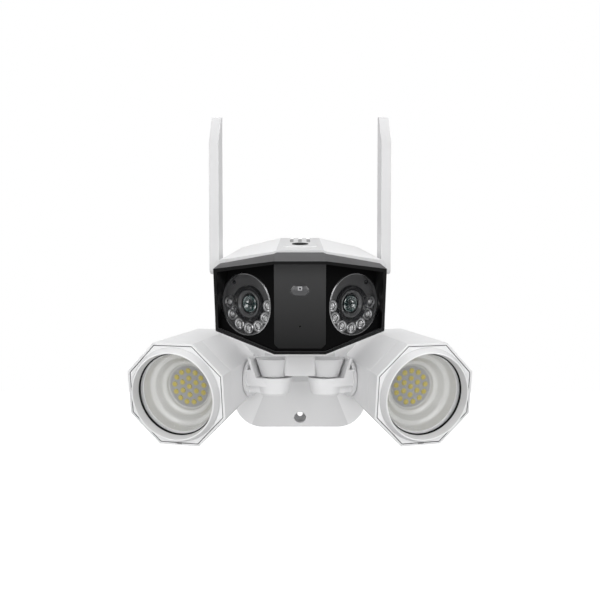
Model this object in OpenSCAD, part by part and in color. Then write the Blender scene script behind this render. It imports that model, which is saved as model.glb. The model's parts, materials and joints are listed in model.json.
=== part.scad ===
// Wall-mounted twin-lens camera with two floodlights.
// Millimetres. +Z up, the front faces -Y, the wall is the plane y = 0.
// The origin is the centre of the wall base's back face.
// Left and right are as seen from the front, so left is -X.

/* [Wall base] */
// Width and height of the square wall base
base_w = 124; // [116:1:130]
// Corner radius of the wall base
base_corner_r = 26.5; // [22:0.5:30]
// Depth of the straight side wall
base_side_d = 18; // [14:1:20]
// Depth of the whole base, up to the stalk
base_d = 46; // [42:1:48]
// Wall thickness of the cast parts
base_wall = 2.6; // [2:0.1:3]
// Distance between the two wall screws
wall_screw_gap = 104; // [96:1:106]
// Diameter of a wall screw hole
wall_screw_d = 5.2; // [4.6:0.1:5.6]
// Diameter of the recess over a wall screw hole
wall_recess_d = 11.2; // [10:0.1:12]

/* [T bracket] */
// Height of the bracket's top face
bracket_top = 11; // [9:0.5:12]
// Sideways distance from the middle to a lamp's swivel axis
swivel_x = 22.2; // [21:0.2:24]
// Distance of both swivel axes from the wall
swivel_y = 84.5; // [80:0.5:88]
// Diameter of the centre column
column_w = 26.5; // [24:0.5:28]

/* [Floodlight] */
// Corner radius of the eight-sided front
lamp_r = 47.3; // [45:0.1:49]
// How much the corner radius shrinks per millimetre of length
lamp_taper = 0.074; // [0.05:0.002:0.09]
// Length of the lamp from front face to back
lamp_len = 82.4; // [78:0.2:88]
// Length of the front collar
collar_len = 19; // [16:1:22]
// Outward turn of each lamp in the drawn pose
lamp_yaw = 19.2; // [15:0.2:22]
// Downward tilt of each lamp in the drawn pose
lamp_tilt = 7.6; // [4:0.2:10]
// Radius of the clear front glass
glass_r = 36; // [35:0.1:36.4]
// Rings of light-emitting chips: count, radius and start angle of each
led_rings = [[1, 0, 0], [6, 7.25, 90], [13, 13.8, 173.6]];
// Side of one square chip
led_chip_w = 3; // [2.4:0.1:3.2]

/* [Camera head] */
// Downward tilt of the head in the drawn pose
head_tilt = 5.4; // [3:0.2:7]
// Half width of the flat middle panel
panel_half_w = 20.7; // [20:0.1:22]
// Half width across the outer ends of the front
tip_half_w = 70; // [68:0.5:71]
// How far each lens panel turns back from the middle one
panel_turn = 36.6; // [34:0.2:38]
// Lean of the open front edge, which makes the rain visor
visor_lean = 16; // [14:0.5:17]
// Lean of the seam between the black frame and the white shell
seam_lean = 7.3; // [6.5:0.1:8]
// Radius of each round lens window
window_r = 26; // [25:0.1:26.2]
// Radius of a lens barrel
barrel_r = 15; // [14:0.1:15.4]
// Infrared lamps under each lens
ir_count = 7; // [5:1:7]
// Radius of the arc that the infrared lamps sit on
ir_ring_r = 20; // [19.6:0.1:20.3]

/* [Antennas] */
// Length of an antenna from its pivot to its tip
antenna_len = 127; // [110:1:140]
// Width of an antenna across its front
antenna_w = 8.8; // [8:0.1:9.2]
// Depth of an antenna from front to back
antenna_d = 8.4; // [8:0.1:9]
// Turn of the antenna's side face, as seen from above
antenna_turn = 19; // [16:0.5:22]

/* [Hidden] */
$fn = 64;

run_fit = 0.06;     // radial clearance of a shaft that turns in its hole
gap = 0.3;          // space between two parts that move past each other
big = 300;          // longer than the whole object

gasket_t = 1.5;
gasket_w = 4.5;                      // the gasket runs round under the edge
plate_t = 2.5;
grommet_r = 11;
grommet_hole_r = 4.5;
boss_r = wall_recess_d / 2 + 2.6;
hole_floor = 5;                      // depth of material under a wall screw's head
base_post = base_w / 2 - 20;         // sideways place of the base's corner posts
plateau_w = 64;
plateau_h = 30;
plateau_r = 6;

cone_bottom = -4.4;                  // underside of a bracket knuckle
cone_r_top = 16;
cone_r_bottom = 11.1;
washer_t = 0.6;
knuckle_top = cone_bottom - washer_t - 0.15;
knuckle_bottom = -20.6;
knuckle_r_top = 15.2;
knuckle_r_bottom = 12.8;
tilt_z = -7.1;                       // height of both lamps' tilt axes
swivel_bolt_r = 3;
stalk_w = 24;
column_d = 28;
column_bottom = -2.7;
column_top = 14.5;
stalk_z = (bracket_top + column_bottom) / 2 + 1;
stalk_h = bracket_top - column_bottom;
pan_bolt_r = 2.5;
disc_bottom = column_top + gap;      // turning disc under the head's fork
disc_top = disc_bottom + 2.7;

flange_x = 23;                       // from the swivel axis to the arm's flange face
flange_t = 3;
flange_r = 16;
axis_gap = 64.2;                     // from the swivel axis to the lamp's own axis
tilt_back = 61.8;                    // from the lamp's face back to the tilt axis
tilt_bolt_r = 3;
lamp_wall = 2.4;
bezel_clear = 0.4;
glass_y = 3.2;                       // front of the glass, behind the lamp's face
glass_t = 3;
board_y = 26;
board_t = 1.6;
sink_y = board_y + board_t + 0.1;
cap_t = 2.6;
cap_post = 22;                       // sideways place of the lamp's rear posts
cavity_r = lamp_r - lamp_taper * lamp_len - lamp_wall / cos(22.5);
cavity_r_front = cavity_r + 3.6;     // the hollow is wider round the lit front

pivot_z = 24;                        // height of the head's tilt axis
ear_r = 6;
panel_y = -62;                       // front of the middle panel, from the tilt axis
front_bottom = 3.4;                  // lowest edge of the open front
front_top = 80.2;
tip_top = 69.9;
tip_bottom = 16.4;
lip_y = panel_y - 1.5;
seam_y = panel_y + 0.5;
shell_back = 12;
shell_wall = 2.4;
rim = 2.4;                           // width of the black rim round the open front
shell_edge = 1.2;                    // white edge that shows round the black frame
brow_y = -72;                        // roof edge behind the visor
brow_z = 85.8;
roof_lean = 2.3;
plug_y = -36;
pad_w = 27;
pad_d = 26;
pad_z = 88;
groove_w = 3;                        // grooves in the roof, behind the service plug
groove_floor = 88;
upper_end = 60;                      // half width of the lens panels' upper edge
panel_t = 2.5;
window_along = 29.3;                 // from the panel's fold out to the window's centre
window_z = 40.8;
sensor_z = 54.5;
lens_depth = 25;
antenna_pivot = [70.6, -12.5, 66];   // of the right antenna, from the head's tilt axis

// ---- shared shapes ----

// A rectangle with round corners, centred
module round_rect(w, h, r) {
    square([w - 2 * r, h], center = true);
    square([w, h - 2 * r], center = true);
    for (x = [-1, 1], y = [-1, 1])
        translate([x * (w / 2 - r), y * (h / 2 - r)]) circle(r);
}

// Anything drawn flat in X and Z, given depth from y0 back to y1
module slab(y0, y1) {
    translate([0, y1, 0]) rotate([90, 0, 0]) linear_extrude(y1 - y0) children();
}

// A round bar along Y
module rod_y(r, y0, y1) {
    translate([0, y0, 0]) rotate([-90, 0, 0]) cylinder(h = y1 - y0, r = r);
}

// A round bar along X
module rod_x(r, x0, x1) {
    translate([x0, 0, 0]) rotate([0, 90, 0]) cylinder(h = x1 - x0, r = r);
}

// A round bar along Z
module rod_z(r, z0, z1) {
    translate([0, 0, z0]) cylinder(h = z1 - z0, r = r);
}

// A turned part: the outline is [radius, y]
module turned(outline) {
    rotate([-90, 0, 0]) rotate_extrude() polygon(outline);
}

// An eight-sided bar along Y with a flat top, from corner radius r0 to r1
module octagon_bar(r0, r1, y0, y1) {
    translate([0, y0, 0]) rotate([-90, 0, 0]) rotate([0, 0, 22.5])
        cylinder(h = y1 - y0, r1 = r0, r2 = r1, $fn = 8);
}

// A screw along Y whose head is at the back and whose point is at the front
module screw_back(head_r, head_t, shaft_r, y_point, y_back) {
    difference() {
        union() {
            rod_y(shaft_r, y_point, y_back - head_t);
            rod_y(head_r, y_back - head_t, y_back);
        }
        for (turn = [0, 90])
            rotate([0, turn, 0]) translate([0, y_back, 0])
                cube([head_r, head_t, 0.9], center = true);
    }
}

// Draws the left-hand part, mirrored when side is 1
module side(side) {
    if (side > 0) mirror([1, 0, 0]) children();
    else children();
}

// ---- wall base ----

module base_outline(inset = 0) {
    round_rect(base_w - 2 * inset, base_w - 2 * inset, base_corner_r - inset);
}

// The sloped front of the base: the straight wall's outline blends to the plateau
module base_loft(inset) {
    hull() {
        slab(-base_side_d, -base_side_d + 1) base_outline(inset);
        slab(-base_d + inset, -base_d + inset + 0.5)
            round_rect(plateau_w - 2 * inset, plateau_h - 2 * inset, plateau_r - inset / 2);
    }
}

module at_wall_screws() {
    for (z = [-1, 1]) translate([0, 0, z * wall_screw_gap / 2]) children();
}

module at_base_posts() {
    for (x = [-1, 1], z = [-1, 1]) translate([x * base_post, 0, z * base_post]) children();
}

module wall_gasket() {
    color("dimgray") difference() {
        slab(-gasket_t, 0) base_outline();
        slab(-gasket_t - 1, 1) base_outline(gasket_w);
    }
}

module base_plate() {
    color("silver") difference() {
        slab(-gasket_t - plate_t, -gasket_t) base_outline(base_wall + gap);
        at_wall_screws() rod_y(boss_r + gap, -plate_t - gasket_t - 1, 1);
        rod_y(grommet_r, -plate_t - gasket_t - 1, 1);
        at_base_posts() {
            rod_y(1.8, -plate_t - gasket_t - 1, 1);
            rod_y(3.4, -gasket_t - 1.5, 1);
        }
    }
}

module base_housing() {
    color("white") difference() {
        union() {
            difference() {
                union() {
                    slab(-base_side_d, -gasket_t) base_outline();
                    base_loft(0);
                }
                slab(-base_side_d, 1) base_outline(base_wall);
                base_loft(base_wall);
            }
            intersection() {
                union() {
                    at_wall_screws() rod_y(boss_r, -base_d, -gasket_t);
                    at_base_posts() rod_y(4.5, -base_d, -gasket_t - plate_t);
                    rod_y(14, -base_d, -base_d + 8);
                }
                union() {
                    slab(-base_side_d, -gasket_t) base_outline(1);
                    base_loft(1);
                }
            }
        }
        at_wall_screws() {
            rod_y(wall_screw_d / 2, -base_d - 1, 1);
            rod_y(wall_recess_d / 2, -base_d - 1, -gasket_t - hole_floor);
        }
        at_base_posts() rod_y(1.3, -base_side_d + 2, 1);
        at_bracket_screws() rod_y(2.1, -base_d - 1, -base_d + 20);
        translate([0, 0, stalk_z]) rod_y(5, -base_d - 1, -base_d + 20);
    }
}

module base_screws() {
    color("gray") at_base_posts() screw_back(3.1, 1.4, 1.25, -base_side_d + 3, -gasket_t - 0.05);
}

module cable_grommet() {
    color("black") turned([
        [grommet_hole_r, -gasket_t - plate_t - 2.2], [grommet_hole_r, -0.1],
        [grommet_r + 2, -0.1], [grommet_r + 2, -gasket_t + 0.02], [grommet_r - 0.05, -gasket_t + 0.02],
        [grommet_r - 0.05, -gasket_t - plate_t - 0.02], [grommet_r + 1.6, -gasket_t - plate_t - 0.02],
        [grommet_r + 0.6, -gasket_t - plate_t - 2.2]
    ]);
}

module driver_board() {
    color("darkgreen") {
        translate([6, -13, 25]) cube([58, 1.6, 36], center = true);
        translate([-4, -20.2, 27]) cube([17, 13, 15], center = true);
        translate([16, -18, 31]) cube([10, 8.6, 8], center = true);
        for (x = [10, 22, 30]) translate([x, 0, 17]) rod_y(3.2, -19, -13.7);
    }
}

module terminal_block() {
    color("ivory") difference() {
        translate([-30, -14, -26]) cube([26, 12, 12], center = true);
        for (x = [-38, -30, -22]) translate([x, -21, -26]) {
            rod_y(2, 0, 5);
            translate([0, 7, -8]) rod_z(1.6, 0, 9);
        }
    }
}

// ---- T bracket ----

module at_bracket_screws() {
    for (x = [-1, 1]) translate([x * 9.6, 0, stalk_z + x * 4]) children();
}

module at_swivels() {
    for (x = [-1, 1]) translate([x * swivel_x, -swivel_y, 0]) children();
}

module t_bracket() {
    color("white") difference() {
        union() {
            translate([0, -swivel_y, column_bottom])
                linear_extrude(column_top - column_bottom) round_rect(column_w, column_d, 3);
            slab(-swivel_y, -base_d) translate([0, stalk_z]) round_rect(stalk_w, stalk_h, 4);
            slab(-base_d - 5, -base_d) translate([0, stalk_z]) round_rect(stalk_w + 12, stalk_h + 6, 5);
            at_swivels() translate([0, 0, cone_bottom])
                cylinder(h = bracket_top - cone_bottom, r1 = cone_r_bottom, r2 = cone_r_top);
        }
        at_swivels() rod_z(swivel_bolt_r + 0.02, cone_bottom - 1, bracket_top - 2);
        translate([0, -swivel_y, 0]) rod_z(pan_bolt_r + 0.02, 1.5, column_top + 1);
        at_bracket_screws() rod_y(1.7, -base_d - 12, -base_d + 1);
        translate([0, 0, stalk_z]) rod_y(5, -swivel_y + 12, -base_d + 1);
    }
}

module bracket_screws() {
    color("gray") at_bracket_screws()
        screw_back(3.6, 2.4, 1.65, -base_d - 11, -base_d + base_wall + 8.2);
}

module swivel_bolts() {
    color("silver") at_swivels() difference() {
        union() {
            rod_z(swivel_bolt_r, knuckle_bottom + 4.8, bracket_top - 3);
            rod_z(5.3, knuckle_bottom + 0.4, knuckle_bottom + 4.8);
        }
        translate([0, 0, knuckle_bottom]) cylinder(h = 3, r = 2.6, $fn = 6);
    }
}

module swivel_washers() {
    color("dimgray") at_swivels() difference() {
        rod_z(9, cone_bottom - washer_t, cone_bottom);
        rod_z(swivel_bolt_r + 0.02, cone_bottom - 1, cone_bottom + 1);
    }
}

module pan_bolt() {
    color("silver") translate([0, -swivel_y, 0]) difference() {
        union() {
            rod_z(pan_bolt_r, 2, disc_top - 1.3);
            rod_z(4.4, disc_top - 1.3, disc_top - 0.1);
        }
        translate([0, 0, disc_top - 0.8]) cylinder(h = 3, r = 1.8, $fn = 6);
    }
}

// ---- arms ----

// The swivel axis of the left arm, turned so that +X points away from the lamp
module at_left_arm() {
    translate([-swivel_x, -swivel_y, 0]) rotate([0, 0, -lamp_yaw]) children();
}

module arm(s) {
    upper_x = cone_r_top + 0.9;
    lower_x = cone_r_bottom + 0.9;
    web_front = 14;
    web_low = -12.3;
    color("white") side(s) at_left_arm() difference() {
        union() {
            translate([0, 0, knuckle_bottom + 2])
                cylinder(h = knuckle_top - knuckle_bottom - 2, r1 = knuckle_r_bottom, r2 = knuckle_r_top);
            translate([0, 0, knuckle_bottom])
                cylinder(h = 2, r1 = knuckle_r_bottom - 2, r2 = knuckle_r_bottom);
            // web, flush with the front of the knuckle
            translate([-flange_x + 1, -web_front, web_low])
                cube([flange_x - 1, 2 * web_front, knuckle_top - web_low]);
            translate([-flange_x + 1, -9, knuckle_bottom + 2]) cube([flange_x - 8, 18, 12]);
            // upper block, which leans back from the bracket's knuckle
            translate([0, 7.5, 0]) rotate([90, 0, 0]) linear_extrude(15) polygon([
                [-flange_x + 1, web_low], [-lower_x, web_low], [-lower_x, cone_bottom],
                [-upper_x, bracket_top], [-flange_x + 1, bracket_top]]);
            translate([0, web_front, 0]) rotate([90, 0, 0]) linear_extrude(2 * web_front) polygon([
                [-flange_x + 1, web_low], [-lower_x, web_low], [-lower_x, cone_bottom],
                [-lower_x - 1.9, 1.6], [-flange_x + 1, 1.6]]);
            translate([0, web_front, 0]) rotate([90, 0, 0]) linear_extrude(2 * web_front) polygon([
                [-lower_x - 2.2, cone_bottom], [-lower_x, cone_bottom],
                [-upper_x, bracket_top], [-upper_x - 2.2, bracket_top]]);
            translate([0, 0, tilt_z]) rod_x(flange_r, -flange_x, -flange_x + flange_t);
        }
        rod_z(swivel_bolt_r + run_fit, knuckle_bottom - 1, knuckle_top + 1);
        rod_z(5.3 + gap, knuckle_bottom - 1, knuckle_bottom + 4.8 + gap);
        translate([0, 0, tilt_z]) rod_x(tilt_bolt_r + 0.02, -flange_x - 1, -13);
    }
}

module arm_left() { arm(-1); }
module arm_right() { arm(1); }

module tilt_bolt(s) {
    color("silver") side(s) at_left_arm() translate([0, 0, tilt_z]) {
        rod_x(tilt_bolt_r, -flange_x - 8, -13.2);
        difference() {
            rod_x(5.5, -flange_x - 11, -flange_x - 8);
            translate([-flange_x - 12, 0, 0]) rotate([0, 90, 0]) cylinder(h = 3, r = 2.5, $fn = 6);
        }
    }
}

module tilt_bolt_left() { tilt_bolt(-1); }
module tilt_bolt_right() { tilt_bolt(1); }

// ---- floodlights ----

// The left lamp's own frame: its face is y = 0 and it runs back along +Y
module at_left_lamp() {
    at_left_arm() translate([0, 0, tilt_z]) rotate([lamp_tilt, 0, 0])
        translate([-axis_gap, -tilt_back, 0]) children();
}

function lamp_r_at(y) = lamp_r - lamp_taper * y;

module lamp_shell(y0, y1, inset) {
    octagon_bar(lamp_r_at(y0) - inset, lamp_r_at(y1) - inset, y0, y1);
}

module at_cap_posts() {
    for (x = [-1, 1], z = [-1, 1]) translate([x * cap_post, 0, z * cap_post]) children();
}

module lamp_body(s) {
    boss_x = axis_gap - flange_x - gap;
    boss_len = 7.6;
    step_y = sink_y + 6;
    color("white") side(s) at_left_lamp() difference() {
        union() {
            difference() {
                union() {
                    lamp_shell(collar_len + 0.3, lamp_len, 0);
                    lamp_shell(collar_len - 5, collar_len + 3, lamp_wall + 0.4);
                }
                octagon_bar(cavity_r_front, cavity_r_front, collar_len - 6, step_y);
                octagon_bar(cavity_r, cavity_r, step_y - 1, lamp_len + 1);
            }
            intersection() {
                octagon_bar(cavity_r + 1, cavity_r + 1, step_y, lamp_len);
                at_cap_posts() rod_y(5.2, collar_len + 26, lamp_len - cap_t - 0.4);
            }
            translate([0, tilt_back, 0]) rod_x(flange_r - 1.5, boss_x - boss_len, boss_x);
        }
        at_cap_posts() rod_y(1.4, lamp_len - 20, lamp_len);
        translate([0, tilt_back, 0]) rod_x(tilt_bolt_r + run_fit, boss_x - 12, boss_x + 1);
    }
}

module lamp_body_left() { lamp_body(-1); }
module lamp_body_right() { lamp_body(1); }

module lamp_collar(s) {
    color("white") side(s) at_left_lamp() difference() {
        lamp_shell(0, collar_len, 0);
        lamp_shell(-1, collar_len + 1, 2.1);
        // drain notch in the lower edge
        translate([0, -1, -lamp_r * cos(22.5) + 1.9]) cube([5, 8, 1.2], center = true);
    }
}

module lamp_collar_left() { lamp_collar(-1); }
module lamp_collar_right() { lamp_collar(1); }

module lamp_bezel(s) {
    ring_r = 40;
    seat_r = glass_r + 0.1;
    tube_r = seat_r + 2.1;
    tube_end = sink_y + 3.4;
    color("white") side(s) at_left_lamp() {
        difference() {
            octagon_bar(lamp_r - 2.1 - bezel_clear, lamp_r - 2.3 - bezel_clear, 0.15, 2.8);
            rod_y(seat_r + 1, -1, 4);
        }
        turned([
            [ring_r, 0.15], [ring_r - 0.1, -2.2], [37.7, -6.7], [37.1, -7.2], [36.4, -7],
            [34.9, glass_y - 1.2], [34.9, glass_y - 0.8], [seat_r, glass_y - 0.8],
            [seat_r, tube_end], [tube_r, tube_end], [tube_r, 2.8], [ring_r, 2.8]
        ]);
    }
}

module lamp_bezel_left() { lamp_bezel(-1); }
module lamp_bezel_right() { lamp_bezel(1); }

module lamp_seal(s) {
    color("black") side(s) at_left_lamp() difference() {
        rod_y(glass_r + 0.05, glass_y - 0.8, glass_y);
        rod_y(34, glass_y - 2, glass_y + 1);
    }
}

module lamp_seal_left() { lamp_seal(-1); }
module lamp_seal_right() { lamp_seal(1); }

module lamp_glass(s) {
    color("lightcyan", 0.3) side(s) at_left_lamp() rod_y(glass_r, glass_y, glass_y + glass_t);
}

module lamp_glass_left() { lamp_glass(-1); }
module lamp_glass_right() { lamp_glass(1); }

// A bowl that steps down to the chips: steep walls between two flat shelves
module reflector(s) {
    front = glass_y + glass_t + 0.1;
    back = board_y - 0.15;
    inner = [[34.6, front], [33.8, front + 2.6], [31.6, front + 7.8], [30.6, front + 9],
             [27.6, front + 10], [26.6, front + 11], [23.6, front + 15], [22.6, front + 15.8],
             [20, front + 16.6], [19, front + 17.4], [18.2, back]];
    outer = [for (i = [len(inner) - 1:-1:0]) [inner[i][0] + 1.1, min(back, inner[i][1] + 1.1)]];
    color("whitesmoke") side(s) at_left_lamp()
        turned(concat(inner, outer, [[glass_r, front + 1.2], [glass_r, front]]));
}

module reflector_left() { reflector(-1); }
module reflector_right() { reflector(1); }

module led_board(s) {
    color("gainsboro") side(s) at_left_lamp() difference() {
        rod_y(22, board_y, board_y + board_t);
        for (x = [-1, 1]) translate([x * 19.8, 0, 0]) rod_y(1.2, board_y - 1, board_y + 3);
    }
}

module led_board_left() { led_board(-1); }
module led_board_right() { led_board(1); }

module led_chips(s) {
    color("gold") side(s) at_left_lamp()
        for (ring = led_rings, i = [0:ring[0] - 1])
            rotate([0, -(ring[2] + i * 360 / ring[0]), 0]) translate([ring[1], board_y - 0.35, 0])
                rotate([0, ring[2] + i * 360 / ring[0], 0])
                    cube([led_chip_w, 0.7, led_chip_w], center = true);
}

module led_chips_left() { led_chips(-1); }
module led_chips_right() { led_chips(1); }

module heat_sink(s) {
    fin_t = 2;
    fin_gap = 7;
    fin_end = sink_y + 17;
    color("darkgray") side(s) at_left_lamp() difference() {
        union() {
            rod_y(glass_r, sink_y, sink_y + 3.2);
            intersection() {
                rod_y(glass_r - 3, sink_y, fin_end);
                for (i = [-4:4]) translate([i * fin_gap - fin_t / 2, sink_y, -glass_r])
                    cube([fin_t, fin_end - sink_y, 2 * glass_r]);
            }
        }
        rod_y(5, sink_y - 1, fin_end + 1);
    }
}

module heat_sink_left() { heat_sink(-1); }
module heat_sink_right() { heat_sink(1); }

module lamp_cap(s) {
    plate_r = cavity_r - bezel_clear;
    color("white") side(s) at_left_lamp() difference() {
        union() {
            octagon_bar(plate_r, plate_r, lamp_len - cap_t - 0.3, lamp_len - 0.3);
            octagon_bar(24, 22, lamp_len - 0.4, lamp_len + 1.6);
        }
        at_cap_posts() {
            rod_y(1.7, lamp_len - 10, lamp_len + 10);
            rod_y(3.3, lamp_len - 1.9, lamp_len + 10);
        }
    }
}

module lamp_cap_left() { lamp_cap(-1); }
module lamp_cap_right() { lamp_cap(1); }

module lamp_screws(s) {
    color("gray") side(s) at_left_lamp()
        at_cap_posts() screw_back(3, 1.5, 1.35, lamp_len - 14, lamp_len - 0.4);
}

module lamp_screws_left() { lamp_screws(-1); }
module lamp_screws_right() { lamp_screws(1); }

// ---- head mount ----

module head_fork() {
    ear_in = 8;
    ear_out = 12;
    color("white") translate([0, -swivel_y, 0]) difference() {
        union() {
            rod_z(13, disc_bottom, disc_top);
            for (x = [-1, 1]) translate([x * (ear_in + ear_out) / 2, 0, 0]) {
                translate([0, 0, pivot_z]) rod_x(ear_r, -(ear_out - ear_in) / 2, (ear_out - ear_in) / 2);
                translate([0, 0, (disc_bottom + pivot_z) / 2])
                    cube([ear_out - ear_in, 2 * ear_r, pivot_z - disc_bottom], center = true);
            }
        }
        difference() {
            rod_z(20, disc_bottom - 1, pivot_z + 20);
            rod_z(13, disc_bottom - 2, pivot_z + 30);
        }
        rod_z(pan_bolt_r + run_fit, 0, disc_top + 1);
        rod_z(4.4 + gap, disc_top - 1.4, disc_top + 1);
        translate([0, 0, pivot_z]) rod_x(2.02, -20, 20);
    }
}

module head_pivot() {
    color("silver") translate([0, -swivel_y, pivot_z]) {
        rod_x(2, -12, 12);
        for (x = [-1, 1]) difference() {
            translate([x * 13.1, 0, 0]) rod_x(3.6, -1.1, 1.1);
            translate([x * 14.2, 0, 0]) rotate([0, 90, 0])
                cylinder(h = 2.4, r = 1.8, $fn = 6, center = true);
        }
    }
}

// ---- camera head ----

module at_head() {
    translate([0, -swivel_y, pivot_z]) rotate([head_tilt, 0, 0]) children();
}

// Where a front surface that leans by lean lies, at sideways place x and height z
function front_y(y0, lean, x, z) =
    y0 - (z - front_bottom) * tan(lean) + max(0, abs(x) - panel_half_w) * tan(panel_turn);

// Everything behind a folded front surface that leans by lean
module behind(y0, lean) {
    turn = atan(tan(panel_turn) * cos(lean));
    wing = big * tan(turn);
    translate([0, y0, front_bottom]) rotate([lean, 0, 0]) translate([0, 0, -big / 2])
        linear_extrude(big) polygon([
            [-panel_half_w, 0], [panel_half_w, 0], [panel_half_w + big, wing],
            [panel_half_w + big, big + wing], [-panel_half_w - big, big + wing],
            [-panel_half_w - big, wing]]);
}

// The same point on the left and on the right
function pair(p) = [[-p[0], p[1], p[2]], p];

// A corner of a folded front surface
function front_corner(y0, lean, x, z) = [x, front_y(y0, lean, x, z), z];

// The convex solid round a list of points
module round_up(points) {
    hull() polyhedron(points, [for (i = [0:len(points) - 3]) [i, i + 1, i + 2]]);
}

// The whole head's outer form, pulled in by inset
module head_form(i) {
    back = shell_back - i;
    round_up([for (p = [
        front_corner(lip_y, visor_lean, panel_half_w + 0.2 - 0.4 * i, front_top + shell_edge - i),
        front_corner(lip_y, visor_lean, tip_half_w + shell_edge - i, tip_top + shell_edge - 0.9 * i),
        front_corner(lip_y, visor_lean, tip_half_w + shell_edge - i, tip_bottom - shell_edge + i),
        front_corner(lip_y, visor_lean, panel_half_w + 0.2 - 0.4 * i, front_bottom - shell_edge + i),
        [18.3 - 0.3 * i, brow_y, brow_z + shell_edge - i],
        [64.4 - i, -35, 76.2 - i],
        [16.6 - 0.3 * i, back, 90.4 - i],
        [49.5 - i, back, 82.6 - i],
        [49.5 - i, back, 20 + i],
        [18 - 0.3 * i, back, 8.6 + i]
    ]) for (q = pair(p)) q]);
}

// The hollow front of the frame, grown by g: it narrows at the upper ends,
// where the visor stands furthest in front of the lens panels
module frame_opening(g) {
    lip = lip_y - 2 - g;
    mid = panel_half_w - 0.8 + 0.4 * g;
    end = tip_half_w - rim + g;
    round_up([for (p = [
        front_corner(lip, visor_lean, mid, front_top - rim + g),
        front_corner(lip, visor_lean, end, tip_top - rim + g),
        front_corner(lip, visor_lean, end, tip_bottom + rim - g),
        front_corner(lip, visor_lean, mid, front_bottom + rim - g),
        front_corner(panel_y + 0.02, 0, mid, front_top - rim + g),
        front_corner(panel_y + 0.02, 0, upper_end + g, tip_top - rim + g),
        front_corner(panel_y + 0.02, 0, end, tip_bottom + rim - g),
        front_corner(panel_y + 0.02, 0, mid, front_bottom + rim - g)
    ]) for (q = pair(p)) q]);
}

module front_frame() {
    color([0.1, 0.1, 0.11]) at_head() difference() {
        intersection() {
            union() {
                difference() {
                    head_form(shell_edge);
                    behind(seam_y, seam_lean);
                }
                intersection() {
                    frame_opening(1);
                    head_form(shell_wall + 0.3);
                }
            }
            behind(lip_y, visor_lean);
        }
        frame_opening(0);
        translate([0, -0.01, 0]) behind(panel_y + 0.02, 0);
    }
}

module head_shell() {
    color("white") at_head() difference() {
        union() {
            difference() {
                intersection() {
                    head_form(0);
                    behind(seam_y + 0.1, seam_lean);
                }
                intersection() {
                    head_form(shell_wall);
                    behind(seam_y - 30, 0);
                }
            }
            // low pad round the service plug
            translate([0, plug_y, pad_z]) rotate([roof_lean, 0, 0])
                linear_extrude(1.1) round_rect(pad_w, pad_d, 4);
            // lug that hangs in the fork
            rod_x(ear_r, -7.6, 7.6);
            translate([0, 0, 5]) cube([15.2, 2 * ear_r, 10], center = true);
            // bosses under the antennas
            for (s = [-1, 1]) at_antenna(s) rod_x(5.5, -antenna_w / 2 - 6.5, -antenna_w / 2 - gap);
        }
        rod_x(2 + run_fit, -20, 20);
        translate([0, plug_y, 80]) rod_z(6.3, 0, 20);
        for (s = [-1, 1]) at_antenna(s) rod_x(2.02, -antenna_w / 2 - 12, 0);
        at_head_screws() rod_y(1.8, 0, 30);
        at_head_screws() rod_y(3.3, shell_back - 1.4, 30);
        // grooves behind the plug, along the leaning roof
        for (i = [-1:1]) translate([i * 7 - groove_w / 2, plug_y + pad_d / 2 + 1, groove_floor])
            rotate([roof_lean, 0, 0]) cube([groove_w, 60, 5]);
        // speaker slots in the belly
        for (i = [-3:3]) translate([i * 4, -30, 0]) cube([1.6, 12, 30], center = true);
    }
}

module front_panel() {
    color([0.13, 0.13, 0.14]) at_head() difference() {
        intersection() {
            head_form(shell_wall + 0.4);
            behind(panel_y + 0.05, 0);
        }
        behind(panel_y + panel_t, 0);
        for (s = [-1, 1]) at_window(s) rod_y(window_r + 0.1, -5, 15);
    }
}

module centre_panel() {
    top = front_top - rim - 0.2;
    bottom = 8.1;
    half = panel_half_w - 0.2;
    color([0.2, 0.2, 0.21]) at_head() difference() {
        slab(panel_y - 1, panel_y) polygon([
            [-half + 3.4, bottom], [half - 3.4, bottom], [half, bottom + 3.6],
            [half, top], [-half, top], [-half, bottom + 3.6]
        ]);
        translate([0, 0, sensor_z]) slab(panel_y - 5, panel_y + 5) round_rect(14, 7.6, 3.7);
        translate([0, 0, 25.8]) rod_y(0.8, panel_y - 3, panel_y + 3);
    }
}

module sensor_window() {
    color([0.3, 0.3, 0.31]) at_head() {
        translate([0, 0, sensor_z]) slab(panel_y - 0.6, panel_y - 0.02) round_rect(13.7, 7.3, 3.6);
        translate([0, 0, sensor_z + 1.9]) slab(panel_y - 0.9, panel_y - 0.6)
            square([3.6, 3.2], center = true);
    }
}

// The centre of a lens window, facing along -Y
module at_window(s) {
    side(s) translate([-panel_half_w, panel_y, window_z]) rotate([0, 0, -panel_turn])
        translate([-window_along, 0, 0]) children();
}

module lens_windows() {
    color("lightcyan", 0.3) at_head() for (s = [-1, 1]) at_window(s) rod_y(window_r, 0.02, 1.4);
}

module lens_barrel(s) {
    color([0.12, 0.12, 0.13]) at_head() at_window(s) turned([
        [0, 6.6], [8.8, 6.6], [9.2, 4.6], [11.4, 4.2], [11.6, 3.0], [13.2, 2.8], [13.4, 1.9],
        [barrel_r - 0.2, 1.8], [barrel_r, 2.2], [barrel_r, 9], [11, 9], [11, lens_depth], [0, lens_depth]
    ]);
}

module lens_barrel_left() { lens_barrel(-1); }
module lens_barrel_right() { lens_barrel(1); }

// Domed front glass of each lens, as rings that follow a circle's arc
module lens_glasses() {
    bulge = 2.4;
    edge = 8.7;
    seat = 6.55;
    steps = 6;
    color([0.1, 0.12, 0.16]) at_head() for (s = [-1, 1]) at_window(s)
        turned(concat([[0, seat], [edge, seat]], [for (i = [0:steps]) let (a = 90 * i / steps)
            [edge * cos(a), seat - 0.3 - bulge * sin(a)]]));
}

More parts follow.
